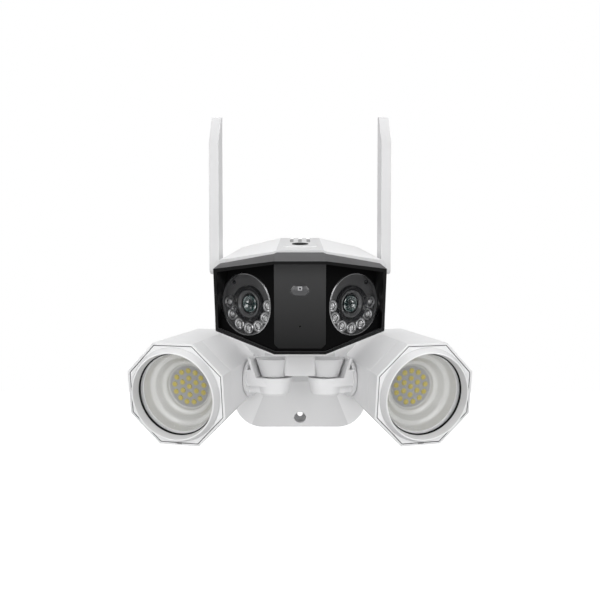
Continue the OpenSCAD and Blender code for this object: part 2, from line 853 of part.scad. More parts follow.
module ir_boards() {
    color([0.25, 0.25, 0.26]) at_head() for (s = [-1, 1]) at_window(s) difference() {
        rod_y(window_r - 0.3, 5.4, 7);
        rod_y(barrel_r + 0.1, 4, 8);
        for (a = [45, 135]) rotate([0, -a, 0]) translate([23.2, 0, 0]) rod_y(1, 4, 8);
    }
}

module ir_lamps() {
    color("white", 0.6) at_head() for (s = [-1, 1]) at_window(s)
        for (i = [0:ir_count - 1]) rotate([0, i * 180 / (ir_count - 1), 0]) translate([ir_ring_r, 0, 0]) {
            rod_y(4.1, 4.2, 5.38);
            translate([0, 4.3, 0]) intersection() {
                sphere(3.6, $fn = 32);
                rod_y(3.6, -2.6, 0.5);
            }
        }
}

module main_board() {
    color("darkgreen") at_head() {
        translate([0, -14, 48]) cube([86, 1.6, 50], center = true);
        for (x = [-22, 20]) translate([x, -16, 54]) cube([16, 2.6, 16], center = true);
        translate([0, -16.4, 36]) cube([14, 3.4, 8], center = true);
    }
}

module speaker() {
    color("gray") at_head() translate([0, -30, 8.6]) {
        rod_z(14, 1, 5);
        rod_z(9, 5, 9);
    }
}

module at_head_screws() {
    for (x = [-1, 1], z = [28, 74]) translate([x * 34, 0, z]) children();
}

module head_screws() {
    color("gray") at_head() at_head_screws()
        screw_back(3, 1.3, 1.7, shell_back - 12, shell_back - 0.1);
}

module service_plug() {
    color("black") at_head() translate([0, plug_y, 0]) difference() {
        union() {
            rod_z(6.2, 83.6, 87.4);
            rod_z(7.4, 81.4, 83.6);
        }
        rod_z(4.6, 86.9, 90);
    }
}

// ---- antennas ----

// An antenna's frame: +X points away from the head's side, and the blade stands
// along +Z, which is upright while the head leans forward as drawn
module at_antenna(s) {
    mirror([s > 0 ? 0 : 1, 0, 0]) translate(antenna_pivot) rotate([-head_tilt, 0, 0])
        rotate([0, 0, antenna_turn]) children();
}

module antenna_pivots() {
    color("silver") at_head() for (s = [-1, 1]) at_antenna(s) {
        rod_x(2, -antenna_w / 2 - 11, antenna_w / 2 - 1.6);
        rod_x(3.2, antenna_w / 2 - 1.6, antenna_w / 2 - 0.4);
    }
}

module antenna(s) {
    tip_len = 22;
    d = antenna_d / 2;
    color("white") at_head() at_antenna(s) difference() {
        union() {
            translate([-antenna_w / 2, 0, 0]) rotate([90, 0, 90]) linear_extrude(antenna_w) polygon([
                [-d, 0], [d, 0], [d, antenna_len], [d - 2.2, antenna_len], [-d, antenna_len - tip_len]]);
            rod_x(d, -antenna_w / 2, antenna_w / 2);
        }
        rod_x(2 + run_fit, -10, 10);
        rod_x(3.2 + gap, antenna_w / 2 - 1.6 - gap, 10);
    }
}

module antenna_left() { antenna(-1); }
module antenna_right() { antenna(1); }

wall_gasket();
base_plate();
base_housing();
base_screws();
cable_grommet();
driver_board();
terminal_block();
t_bracket();
bracket_screws();
swivel_bolts();
swivel_washers();
pan_bolt();
arm_left();
arm_right();
tilt_bolt_left();
tilt_bolt_right();
lamp_body_left();
lamp_body_right();
lamp_collar_left();
lamp_collar_right();
lamp_bezel_left();
lamp_bezel_right();
lamp_seal_left();
lamp_seal_right();
lamp_glass_left();
lamp_glass_right();
reflector_left();
reflector_right();
led_board_left();
led_board_right();
led_chips_left();
led_chips_right();
heat_sink_left();
heat_sink_right();
lamp_cap_left();
lamp_cap_right();
lamp_screws_left();
lamp_screws_right();
head_fork();
head_pivot();
head_shell();
front_frame();
front_panel();
centre_panel();
sensor_window();
lens_windows();
lens_barrel_left();
lens_barrel_right();
lens_glasses();
ir_boards();
ir_lamps();
main_board();
speaker();
head_screws();
service_plug();
antenna_pivots();
antenna_left();
antenna_right();
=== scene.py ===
import json
from math import cos, pi, radians, sin

import bmesh
import bpy
from mathutils import Matrix, Vector
from mathutils.kdtree import KDTree


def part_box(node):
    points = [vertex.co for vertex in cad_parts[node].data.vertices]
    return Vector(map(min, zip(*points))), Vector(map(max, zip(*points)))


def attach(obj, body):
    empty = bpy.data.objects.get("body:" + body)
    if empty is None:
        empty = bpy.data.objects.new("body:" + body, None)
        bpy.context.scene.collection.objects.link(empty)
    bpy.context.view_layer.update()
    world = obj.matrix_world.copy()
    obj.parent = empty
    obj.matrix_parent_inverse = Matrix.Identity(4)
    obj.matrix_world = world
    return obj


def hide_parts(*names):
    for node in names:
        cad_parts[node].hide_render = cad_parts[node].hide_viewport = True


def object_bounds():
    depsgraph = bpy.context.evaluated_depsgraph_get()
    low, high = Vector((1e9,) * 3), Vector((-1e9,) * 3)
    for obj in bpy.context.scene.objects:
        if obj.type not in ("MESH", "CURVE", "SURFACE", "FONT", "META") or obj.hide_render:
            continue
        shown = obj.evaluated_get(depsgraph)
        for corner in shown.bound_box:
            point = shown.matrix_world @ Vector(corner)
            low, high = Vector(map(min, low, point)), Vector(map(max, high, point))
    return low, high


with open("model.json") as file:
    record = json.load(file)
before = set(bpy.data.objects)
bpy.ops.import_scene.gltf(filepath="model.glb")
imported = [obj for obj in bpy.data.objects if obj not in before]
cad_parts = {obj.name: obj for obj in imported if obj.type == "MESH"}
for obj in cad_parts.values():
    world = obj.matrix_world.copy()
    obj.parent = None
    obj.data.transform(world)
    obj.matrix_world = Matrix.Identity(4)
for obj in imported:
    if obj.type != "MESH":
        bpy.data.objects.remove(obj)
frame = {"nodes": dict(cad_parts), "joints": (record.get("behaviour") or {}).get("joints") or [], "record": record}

# The looks of the floodlight camera. Metres, +Z up, the front faces -Y, the wall is
# the plane y = 0. MM turns the millimetres that sizes are given in into metres.
MM = 0.001
SIDES = ("left", "right")
cad_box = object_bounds()


# ---- camera, light and floor ----

def add_camera():
    """Looks straight at the front from slightly above, as the photograph does."""
    data = bpy.data.cameras.new("camera")
    data.lens = 54
    data.sensor_width = 36
    camera = bpy.data.objects.new("camera", data)
    bpy.context.scene.collection.objects.link(camera)
    aim = Vector((0, -121.13, 63.45)) * MM
    distance = 741.6 * MM
    rise = radians(3)
    camera.location = aim + distance * Vector((0, -cos(rise), sin(rise)))
    camera.rotation_euler = (pi / 2 - rise, 0, 0)
    bpy.context.scene.camera = camera


def add_softbox(name, azimuth, elevation, distance, width, height, watts):
    """A soft rectangular lamp aimed at the middle of the object."""
    data = bpy.data.lights.new(name, "AREA")
    data.shape = "RECTANGLE"
    data.size = width
    data.size_y = height
    data.energy = watts
    lamp = bpy.data.objects.new(name, data)
    bpy.context.scene.collection.objects.link(lamp)
    turn, rise = radians(azimuth), radians(elevation)
    away = Vector((sin(turn) * cos(rise), -cos(turn) * cos(rise), sin(rise)))
    middle = (cad_box[0] + cad_box[1]) / 2
    lamp.location = middle + distance * away
    lamp.rotation_euler = away.to_track_quat("Z", "Y").to_euler()


def add_world():
    """A white studio: pale all round, brighter overhead, and white behind the object."""
    world = bpy.data.worlds.new("studio")
    world.use_nodes = True
    tree = world.node_tree
    tree.nodes.clear()
    add = tree.nodes.new
    place = add("ShaderNodeTexCoord")
    split = add("ShaderNodeSeparateXYZ")
    ramp = add("ShaderNodeValToRGB")
    stops = ramp.color_ramp.elements
    stops[0].position, stops[1].position = 0.40, 0.90
    stops[0].color = (0.35, 0.35, 0.35, 1)
    stops[1].color = (0.90, 0.90, 0.90, 1)
    scale = add("ShaderNodeMapRange")
    scale.inputs["From Min"].default_value = -1
    glow = add("ShaderNodeBackground")
    glow.inputs["Strength"].default_value = 0.5
    white = add("ShaderNodeBackground")
    white.inputs["Color"].default_value = (1, 1, 1, 1)
    pick = add("ShaderNodeMixShader")
    seen = add("ShaderNodeLightPath")
    out = add("ShaderNodeOutputWorld")
    link = tree.links.new
    link(place.outputs["Generated"], split.inputs[0])
    link(split.outputs["Z"], scale.inputs["Value"])
    link(scale.outputs[0], ramp.inputs[0])
    link(ramp.outputs[0], glow.inputs["Color"])
    link(seen.outputs["Is Camera Ray"], pick.inputs[0])
    link(glow.outputs[0], pick.inputs[1])
    link(white.outputs[0], pick.inputs[2])
    link(pick.outputs[0], out.inputs["Surface"])
    bpy.context.scene.world = world


def add_floor():
    """A wide pale floor well below the object, which hangs on a wall."""
    half, drop = 6.0, 0.9
    mesh = bpy.data.meshes.new("floor")
    height = cad_box[0].z - drop
    mesh.from_pydata(
        [(-half, -half, height), (half, -half, height), (half, half, height), (-half, half, height)],
        [], [(0, 1, 2, 3)])
    floor = bpy.data.objects.new("floor", mesh)
    bpy.context.scene.collection.objects.link(floor)
    floor.data.materials.append(floor_paint())


# ---- materials ----

def shader_of(name, colour, roughness, **settings):
    """A new material and its Principled shader, with fixed values on the shader's own sockets."""
    made = bpy.data.materials.new(name)
    made.use_nodes = True
    shader = made.node_tree.nodes["Principled BSDF"]
    shader.inputs["Base Color"].default_value = (*colour, 1)
    shader.inputs["Roughness"].default_value = roughness
    for socket, value in settings.items():
        shader.inputs[socket.replace("_", " ")].default_value = value
    return made, shader


def noise(tree, size, detail=3.0):
    """Noise whose features are about size metres across, fixed to the object."""
    place = tree.nodes.new("ShaderNodeTexCoord")
    cloud = tree.nodes.new("ShaderNodeTexNoise")
    cloud.inputs["Scale"].default_value = 1 / size
    cloud.inputs["Detail"].default_value = detail
    tree.links.new(place.outputs["Object"], cloud.inputs["Vector"])
    return cloud.outputs["Fac"]


def vary_colour(made, shader, size, low, high):
    """The base colour drifts between two tints."""
    tree = made.node_tree
    mix = tree.nodes.new("ShaderNodeMix")
    mix.data_type = "RGBA"
    mix.inputs["A"].default_value = (*low, 1)
    mix.inputs["B"].default_value = (*high, 1)
    tree.links.new(noise(tree, size), mix.inputs["Factor"])
    tree.links.new(mix.outputs["Result"], shader.inputs["Base Color"])


def vary_roughness(made, shader, size, low, high):
    """The roughness drifts between two values, as handled plastic does."""
    tree = made.node_tree
    span = tree.nodes.new("ShaderNodeMapRange")
    span.inputs["To Min"].default_value = low
    span.inputs["To Max"].default_value = high
    tree.links.new(noise(tree, size), span.inputs["Value"])
    tree.links.new(span.outputs["Result"], shader.inputs["Roughness"])


def add_grain(made, shader, size, height):
    """A fine moulded texture: bumps of that size and height, in metres."""
    tree = made.node_tree
    bump = tree.nodes.new("ShaderNodeBump")
    bump.inputs["Strength"].default_value = 1
    bump.inputs["Distance"].default_value = height
    tree.links.new(noise(tree, size, 2), bump.inputs["Height"])
    tree.links.new(bump.outputs["Normal"], shader.inputs["Normal"])


def plastic(name, tint, roughness, drift=0.03, grain_size=0.6 * MM, grain=0.012 * MM, **settings):
    """Moulded plastic: a faint drift of tint and gloss over a fine grain."""
    tint_patch, gloss_patch = 14 * MM, 5 * MM
    made, shader = shader_of(name, tint, roughness, **settings)
    low = tuple(c * (1 - drift) for c in tint)
    high = tuple(min(1, c * (1 + drift)) for c in tint)
    vary_colour(made, shader, tint_patch, low, high)
    vary_roughness(made, shader, gloss_patch, roughness - 0.04, roughness + 0.05)
    add_grain(made, shader, grain_size, grain)
    return made


def metal(name, tint, roughness):
    """Plated or cast metal with a slight uneven gloss."""
    tint_patch, gloss_patch, grain_size, grain = 3 * MM, 1.5 * MM, 0.5 * MM, 0.01 * MM
    made, shader = shader_of(name, tint, roughness, Metallic=1.0)
    vary_colour(made, shader, tint_patch, tuple(c * 0.88 for c in tint), tint)
    vary_roughness(made, shader, gloss_patch, roughness - 0.08, roughness + 0.1)
    add_grain(made, shader, grain_size, grain)
    return made


def clear(name, tint, alpha, roughness, **settings):
    """Thin clear glass or resin, seen through by its alpha."""
    gloss_patch = 20 * MM
    made, shader = shader_of(name, tint, roughness, Alpha=alpha, **settings)
    vary_roughness(made, shader, gloss_patch, roughness, roughness + 0.03)
    return made


def floor_paint():
    """Pale floor that burns out to white where it is seen directly."""
    made, shader = shader_of("floor_paint", (0.62, 0.62, 0.62), 0.9)
    shader.inputs["Emission Color"].default_value = (1, 1, 1, 1)
    seen = made.node_tree.nodes.new("ShaderNodeLightPath")
    made.node_tree.links.new(seen.outputs["Is Camera Ray"], shader.inputs["Emission Strength"])
    vary_roughness(made, shader, 0.5, 0.85, 0.95)
    return made


# The whites are lighter and darker copies of one white plastic: each area has the one whose tone matches the
# photograph, so part of the light and shade that falls there is painted into its colour
WHITE = plastic("white_plastic", (0.78, 0.78, 0.785), 0.46, 0.012)
WHITE_BRACKET = plastic("white_bracket", (0.68, 0.68, 0.685), 0.5, 0.012)
# painted shade: a darker white for the lamp's conical ring and the fork under the head
WHITE_PAINTED_SHADE = plastic("white_painted_shade", (0.64, 0.64, 0.645), 0.44, 0.012, 0.9 * MM, 0.006 * MM)
# painted shade: a greyer white for the middle strip of the roof
WHITE_ROOF_PAINTED_SHADE = plastic("white_roof_painted_shade", (0.62, 0.62, 0.625), 0.5, 0.02)
# painted shade: a dark grey for the floors of the roof's grooves
WHITE_GROOVE_PAINTED_SHADE = plastic("white_groove_painted_shade", (0.30, 0.30, 0.303), 0.5, 0.02)
# painted light: a paler white for the base's flanks, as if lit from the sides
WHITE_PAINTED_LIGHT = plastic("white_painted_light", (0.92, 0.92, 0.925), 0.46, 0.012)
WHITE_SATIN = plastic("white_satin", (0.84, 0.84, 0.845), 0.40, 0.01, 0.9 * MM, 0.006 * MM)
WHITE_BLADE = plastic("white_blade", (0.68, 0.68, 0.685), 0.44, 0.01, 0.9 * MM, 0.006 * MM)

FRAME_BLACK = plastic("frame_black", (0.004, 0.004, 0.0042), 0.38, 0.1, Specular_IOR_Level=0.2)
# painted reflection: a paler black for the hood's upward faces
VISOR_PAINTED_REFLECTION = plastic("visor_black_painted_reflection", (0.07, 0.07, 0.072), 0.42, 0.06)
PANEL_BLACK = plastic("panel_black", (0.0055, 0.0055, 0.0057), 0.5, 0.1, Specular_IOR_Level=0.0)
SENSOR_GREY = plastic("sensor_grey", (0.085, 0.085, 0.088), 0.25, 0.05)
SENSOR_LIGHT = plastic("sensor_light", (0.42, 0.42, 0.43), 0.3, 0.04)
CHIP_WHITE = plastic("infrared_chip", (0.9, 0.9, 0.9), 0.3, 0.04)
LENS_BLACK = plastic("lens_black", (0.008, 0.008, 0.009), 0.22, 0.1, 0.4 * MM, 0.006 * MM,
                     Specular_IOR_Level=0.8)
RING_GREY = plastic("ring_grey", (0.10, 0.10, 0.102), 0.16, 0.1, 0.4 * MM, 0.006 * MM)
PLATE_GREY = plastic("plate_grey", (0.085, 0.085, 0.087), 0.42, 0.08, 0.5 * MM, 0.012 * MM)
RUBBER = plastic("rubber_black", (0.006, 0.006, 0.0065), 0.75, 0.15, 0.5 * MM, 0.02 * MM,
                 Specular_IOR_Level=0.2)
LED_GREY = plastic("led_board_grey", (0.32, 0.32, 0.31), 0.6, 0.05)
PHOSPHOR = plastic("led_phosphor", (0.50, 0.40, 0.03), 0.55, 0.08, 0.3 * MM, 0.01 * MM)
CIRCUIT = plastic("circuit_green", (0.02, 0.13, 0.06), 0.4, 0.2, 1.0 * MM, 0.02 * MM)
IVORY = plastic("terminal_ivory", (0.7, 0.68, 0.6), 0.5, 0.03)
ELEMENT = plastic("lens_element", (0.012, 0.06, 0.056), 0.13, 0.3, 2.5 * MM, 0.002 * MM, IOR=3.4)

STEEL = metal("screw_steel", (0.56, 0.56, 0.57), 0.34)
EDGE_STEEL = metal("window_edge", (0.62, 0.62, 0.63), 0.22)
CUP_STEEL = metal("infrared_cup", (0.85, 0.85, 0.86), 0.3)
ZINC = metal("zinc_plate", (0.6, 0.61, 0.62), 0.4)
CAST = metal("cast_aluminium", (0.68, 0.69, 0.7), 0.5)

LAMP_GLASS = clear("lamp_glass", (0.96, 0.97, 0.98), 0.04, 0.03)
LENS_PANE = clear("lens_pane", (0.02, 0.022, 0.025), 0.06, 0.03)
LENS_DOME = clear("lens_dome", (0.01, 0.012, 0.013), 0.3, 0.04)
RESIN = clear("infrared_resin", (0.30, 0.30, 0.305), 0.12, 0.04, IOR=1.8)


# ---- building tools ----

SAME_POINT = 1e-6
NO_LENGTH = 1e-7
SAME_PLANE = radians(0.4)
BEVEL_STEPS = 3
TURNED_CREASE = radians(32)
PLATE_CREASE = radians(40)


def body_of(node):
    """The name of the body that moves a CAD node."""
    return next(b for b, nodes in frame["record"]["behaviour"]["bodies"].items() if node in nodes)


def mesh_object(name, mesh, paint):
    """A new object in the scene with one finish."""
    piece = bpy.data.objects.new(name, mesh)
    bpy.context.scene.collection.objects.link(piece)
    mesh.materials.append(paint)
    return piece


def stand_for(piece, *nodes):
    """The piece replaces these CAD nodes, which share one body, and moves as they do."""
    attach(piece, body_of(nodes[0]))
    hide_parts(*nodes)
    return piece


def second_paint(piece, paint, chosen):
    """Gives the faces that chosen(face) picks another finish."""
    piece.data.materials.append(paint)
    for face in piece.data.polygons:
        if chosen(face):
            face.material_index = len(piece.data.materials) - 1


def whole_faces(node):
    """The surface of a CAD node with its flat faces whole again, ready to edit."""
    bm = bmesh.new()
    source = frame["nodes"][node].data
    corners = [bm.verts.new(v.co) for v in source.vertices]
    for face in source.polygons:
        if len(set(face.vertices)) > 2:
            bm.faces.new([corners[i] for i in face.vertices])
    bmesh.ops.remove_doubles(bm, verts=bm.verts, dist=SAME_POINT)
    bmesh.ops.dissolve_degenerate(bm, edges=bm.edges, dist=NO_LENGTH)
    bmesh.ops.dissolve_limit(bm, angle_limit=SAME_PLANE, verts=bm.verts, edges=bm.edges)
    return bm


def round_edges(piece, width):
    """Rounds the edges by their bevel weight and keeps the flat faces flat."""
    bevel = piece.modifiers.new("round_edges", "BEVEL")
    bevel.limit_method = "WEIGHT"
    bevel.width = width
    bevel.segments = BEVEL_STEPS
    bevel.use_clamp_overlap = True
    flat = piece.modifiers.new("flat_faces", "WEIGHTED_NORMAL")
    flat.keep_sharp = True


def softened(node, paint, width, crease=25, weight=None):
    """Stands for a CAD node with the node's own shape, its sharp edges rounded.

    crease is the least angle between two faces, in degrees, that counts as an edge.
    weight(edge) may give an edge less than the full width."""
    bm = whole_faces(node)
    layer = bm.edges.layers.float.new("bevel_weight_edge")
    for edge in bm.edges:
        sharp = len(edge.link_faces) == 2 and edge.calc_face_angle(0) > radians(crease)
        edge[layer] = (weight(edge) if weight else 1.0) if sharp else 0.0
    mesh = bpy.data.meshes.new(node + "_soft")
    bm.to_mesh(mesh)
    bm.free()
    mesh.shade_smooth()
    piece = mesh_object(node + "_soft", mesh, paint)
    round_edges(piece, width)
    return stand_for(piece, node)


def ring_of(radius, depth, segments, sides):
    """Points in mm round the local Y axis. With sides, an even polygon with a flat top,
    whose corners are radius away from the axis."""
    points = []
    for i in range(segments):
        turn = 2 * pi * i / segments
        reach = radius
        if sides:
            half = pi / sides
            reach *= cos(half) / cos((turn + half) % (2 * half) - half)
        points.append(Vector((reach * cos(turn), depth, reach * sin(turn))))
    return points


def turned_mesh(name, outline, places, segments=96):
    """Solids of revolution round the local Y axis of each place.

    The outline is [(radius, y)] in mm; a third number makes that ring a polygon."""
    bm = bmesh.new()
    for place in places:
        rings = []
        for radius, depth, *sides in outline:
            points = ring_of(radius, depth, segments, sides[0] if sides else 0)
            if radius == 0:
                points = points[:1]
            rings.append([bm.verts.new(place @ (MM * p)) for p in points])
        closed = outline[0][0] > 0 and outline[-1][0] > 0
        for first, second in zip(rings, rings[1:] + rings[:1] if closed else rings[1:]):
            for i in range(segments):
                j = (i + 1) % segments
                around = [first[i % len(first)], first[j % len(first)],
                          second[j % len(second)], second[i % len(second)]]
                corners = list(dict.fromkeys(around))
                if len(corners) > 2:
                    bm.faces.new(corners)
    bmesh.ops.recalc_face_normals(bm, faces=bm.faces)
    mesh = bpy.data.meshes.new(name)
    bm.to_mesh(mesh)
    bm.free()
    mesh.shade_smooth()
    mesh.set_sharp_from_angle(angle=TURNED_CREASE)
    return mesh


def turned(name, outline, places, paint, body, segments=96):
    """Turned pieces, one in each place, that move with a body."""
    piece = mesh_object(name, turned_mesh(name, outline, places, segments), paint)
    flat = piece.modifiers.new("flat_faces", "WEIGHTED_NORMAL")
    flat.keep_sharp = True
    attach(piece, body)
    return piece


def plate_mesh(name, outline, place, front, back, edge):
    """A flat plate from y = back to y = front. The outline is [(x, z)] in mm, and the
    front edge is rounded by edge."""
    middle = Vector((sum(x for x, _ in outline), sum(z for _, z in outline))) / len(outline)
    bend = 0.3 * edge
    bm = bmesh.new()
    rings = []
    for inset, depth in ((0, back), (0, front + edge), (bend, front + bend), (edge, front)):
        ring = []
        for x, z in outline:
            away = Vector((x, z)) - middle
            reach = away.normalized() * inset
            ring.append(bm.verts.new(place @ (MM * Vector((x - reach.x, depth, z - reach.y)))))
        rings.append(ring)
    for first, second in zip(rings, rings[1:]):
        for i in range(len(outline)):
            j = (i + 1) % len(outline)
            bm.faces.new((first[i], first[j], second[j], second[i]))
    bm.faces.new(rings[0])
    bm.faces.new(rings[-1])
    bmesh.ops.recalc_face_normals(bm, faces=bm.faces)
    mesh = bpy.data.meshes.new(name)
    bm.to_mesh(mesh)
    bm.free()
    mesh.shade_smooth()
    mesh.set_sharp_from_angle(angle=PLATE_CREASE)
    return mesh


def middles(node):
    """The centre of each separate solid of a CAD node, in the order of its vertices.

    The order is fixed, so that a piece built on these centres is the same in each run."""
    bm = bmesh.new()
    bm.from_mesh(frame["nodes"][node].data)
    bmesh.ops.remove_doubles(bm, verts=bm.verts, dist=SAME_POINT)
    done, found = set(), []
    for start in bm.verts:
        if start in done:
            continue
        island, edge = set(), [start]
        while edge:
            vert = edge.pop()
            if vert not in island:
                island.add(vert)
                edge.extend(e.other_vert(vert) for e in vert.link_edges)
        done |= island
        low = Vector(min(v.co[k] for v in island) for k in range(3))
        high = Vector(max(v.co[k] for v in island) for k in range(3))
        found.append((low + high) / 2)
    bm.free()
    return found


# ---- where things are ----

def front_face(node, side=0):
    """Centre and outward direction of a node's largest flat area that faces forward.

    side keeps only what is left (-1) or right (1) of the middle."""
    forward, same_way = -0.2, 0.9999
    mesh = frame["nodes"][node].data
    faces = [f for f in mesh.polygons if f.center.x * side >= 0 and f.normal.y < forward]
    best = max(faces, key=lambda f: f.area).normal.copy()
    cap = [f for f in faces if f.normal.dot(best) > same_way]
    corners = {i for f in cap for i in f.vertices}
    points = [mesh.vertices[i].co for i in corners]
    low = Vector(min(p[k] for p in points) for k in range(3))
    high = Vector(max(p[k] for p in points) for k in range(3))
    return (low + high) / 2, best


def facing(centre, outward, across):
    """A frame at centre whose -Y points outward and whose X runs as near across as it can."""
    back = -outward.normalized()
    up = across.cross(back).normalized()
    side = back.cross(up)
    turn = Matrix((side, back, up)).transposed().to_4x4()
    return Matrix.Translation(centre) @ turn


def joint(name):
    """The record of a joint."""
    return next(j for j in frame["joints"] if j["name"] == name)


def lamp_place(side):
    """Where a lamp's glass is, with its front at y = 0."""
    centre, outward = front_face(f"lamp_glass_{side}")
    return facing(centre, outward, Vector(joint(f"{side}_lamp_tilt")["axis"]))


def head_place():
    """Where the head's centre panel is, with its front at y = 0."""
    centre, outward = front_face("centre_panel")
    return facing(centre, outward, Vector((1, 0, 0)))


def window_place(side):
    """Where a lens window's pane is, with its front at y = 0."""
    centre, outward = front_face("lens_windows", -1 if side == "left" else 1)
    up = head_place().to_3x3() @ Vector((0, 0, 1))
    return facing(centre, outward, (-outward).cross(up))


# ---- wall base and bracket ----

def dress_base():
    """The gasket, the housing with its two sloping flanks painted paler as painted light, and the bracket."""
    def on_painted_light_flank(face):
        """The slopes to the left and right of the front plateau, which get painted light."""
        return abs(face.normal.x) > 0.2 and face.normal.y < -0.1

    softened("wall_gasket", RUBBER, 0.3 * MM)
    base = softened("base_housing", WHITE, 1.0 * MM)
    # painted light: the flanks get a paler white than the rest of the housing
    second_paint(base, WHITE_PAINTED_LIGHT, on_painted_light_flank)
    softened("t_bracket", WHITE_BRACKET, 1.0 * MM)


def dress_arm(side):
    """The casting that carries a lamp."""
    softened(f"arm_{side}", WHITE, 0.8 * MM)


# ---- floodlights ----

def lamp_bezel_outline(front):
    """Eight-sided plate with a conical ring. front is the glass's depth behind the lamp's face."""
    shapes = [(44.7, 2.8, 8), (44.7, 0.5, 8), (44.4, 0.15, 8), (40.3, 0.15), (39.95, -0.1), (39.85, -2.0),
              (39.6, -2.7), (38.0, -6.2), (37.6, -6.9), (37.15, -7.15), (36.7, -7.05), (36.4, -6.7),
              (34.95, 1.6), (34.95, 2.3), (36.15, 2.35), (36.15, 31.0), (38.15, 31.0), (38.15, 2.8)]
    return [(r, y - front, *sides) for r, y, *sides in shapes]


def seam_outline(front):
    """The dark gap between the bezel and the lamp's body."""
    return [(r, y - front, 8) for r, y in ((45.25, 0.3), (44.6, 0.3), (44.6, 2.4), (45.25, 2.4))]


# The bowl's inside, from its front lip down to the chips' board, then back outside it
BOWL = [(35.9, 3.2), (34.3, 3.15), (33.75, 3.35), (33.55, 3.9), (33.3, 5.0), (31.5, 10.4), (31.1, 11.3),
        (30.3, 12.0), (29.2, 12.5), (28.1, 12.95), (27.3, 13.5), (26.6, 14.4), (24.2, 17.6),
        (23.6, 18.4), (22.8, 18.95), (21.8, 19.35), (20.8, 19.7), (20.2, 20.2), (19.9, 20.9), (19.7, 21.6),
        (19.4, 22.15), (19.0, 22.45), (18.4, 22.6), (18.4, 22.75), (20.6, 22.75), (24.8, 19.0),
        (28.6, 14.2), (32.6, 12.2), (35.0, 5.2), (35.9, 4.3)]


def bowl_painted_light(side, place):
    """Satin white with painted light: its two rounded shelves are painted paler as highlights, and its walls
    between them darker as painted shade.

    The depths of the shelves and of the walls between them are in mm behind the glass."""
    start_depth, reach = 3.0, 24
    shelves, walls = (12.6, 19.3), (9.5, 14.2, 17.2, 21.2)
    lit_shelf_tone, shaded_wall_tone = 0.72, 0.59
    made, shader = shader_of(f"bowl_white_painted_light_{side}", (0.6, 0.6, 0.585), 0.22, Specular_IOR_Level=0.8)
    tree = made.node_tree
    spot = tree.nodes.new("ShaderNodeTexCoord")
    along = tree.nodes.new("ShaderNodeVectorMath")
    along.operation = "DOT_PRODUCT"
    axis = place.to_3x3() @ Vector((0, 1, 0))
    along.inputs[1].default_value = axis
    span = tree.nodes.new("ShaderNodeMapRange")
    start = place.translation.dot(axis)
    span.inputs["From Min"].default_value = start
    span.inputs["From Max"].default_value = start + reach * MM
    ramp = tree.nodes.new("ShaderNodeValToRGB")
    ramp.color_ramp.interpolation = "EASE"
    stops = ramp.color_ramp.elements
    stops[0].position, stops[1].position = start_depth / reach, 1.0
    for depth in sorted(shelves + walls):
        stops.new(depth / reach)
    for stop in stops:
        on_shelf = min(abs(stop.position * reach - depth) for depth in shelves) < 0.1
        pale = lit_shelf_tone if on_shelf else shaded_wall_tone
        stop.color = (pale, pale, pale * 0.975, 1)
    tree.links.new(spot.outputs["Object"], along.inputs[0])
    tree.links.new(along.outputs["Value"], span.inputs["Value"])
    tree.links.new(span.outputs[0], ramp.inputs[0])
    tree.links.new(ramp.outputs[0], shader.inputs["Base Color"])
    vary_roughness(made, shader, 5 * MM, 0.2, 0.26)
    add_grain(made, shader, 1.2 * MM, 0.006 * MM)
    return made


def dress_lamp(side):
    """One floodlight: its casings, its bezel and ring, the seal, the bowl and the LED chips."""
    softened(f"lamp_body_{side}", WHITE, 0.35 * MM)
    softened(f"lamp_collar_{side}", WHITE, 0.35 * MM)
    softened(f"lamp_cap_{side}", WHITE, 0.5 * MM)
    place = lamp_place(side)
    body = f"lamp_{side}"
    glass_depth = 3.2
    bezel = turned(f"bezel_{side}", lamp_bezel_outline(glass_depth), [place], WHITE_SATIN, body)
    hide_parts(f"lamp_bezel_{side}")
    inward = place.inverted()

    def on_painted_shade_ring(face):
        """The conical ring and what is inside it, apart from the ring's crest: the faces that get painted shade.
        """
        local = inward @ face.center
        radius = Vector((local.x, local.z)).length
        on_crest = 36.3 * MM < radius < 37.7 * MM and local.y < -9.8 * MM
        return radius < 40.2 * MM and not on_crest

    def on_lip(face):
        """The bowl's rim, just behind the glass."""
        return (inward @ face.center).y < 4.0 * MM

    # painted shade: the ring and what is inside it get a darker white, while its crest stays pale
    second_paint(bezel, WHITE_PAINTED_SHADE, on_painted_shade_ring)
    turned(f"bezel_seam_{side}", seam_outline(glass_depth), [place], RUBBER, body)
    seal_ring = [(36.1, -2.3), (34.9, -2.3), (34.3, -1.9), (34.1, -1.2), (34.2, -0.4), (36.1, -0.2)]
    seal = turned(f"seal_{side}", seal_ring, [place], RUBBER, body)
    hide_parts(f"lamp_seal_{side}")
    # painted highlights on the bowl's shelves and painted shade on its walls
    bowl = turned(f"bowl_{side}", BOWL, [place], bowl_painted_light(side, place), body)
    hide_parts(f"reflector_{side}")
    second_paint(bowl, WHITE_SATIN, on_lip)
    chip = [(0, 21.9), (1.6, 21.93), (2.1, 22.1), (2.3, 22.4), (2.3, 22.85), (0, 22.85)]
    spots = []
    for centre in middles(f"led_chips_{side}"):
        local = inward @ centre
        spots.append(place @ Matrix.Translation((local.x, 0, local.z)))
    chips = turned(f"chips_{side}", chip, spots, PHOSPHOR, body,
                   segments=20)
    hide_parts(f"led_chips_{side}")


# ---- camera head ----

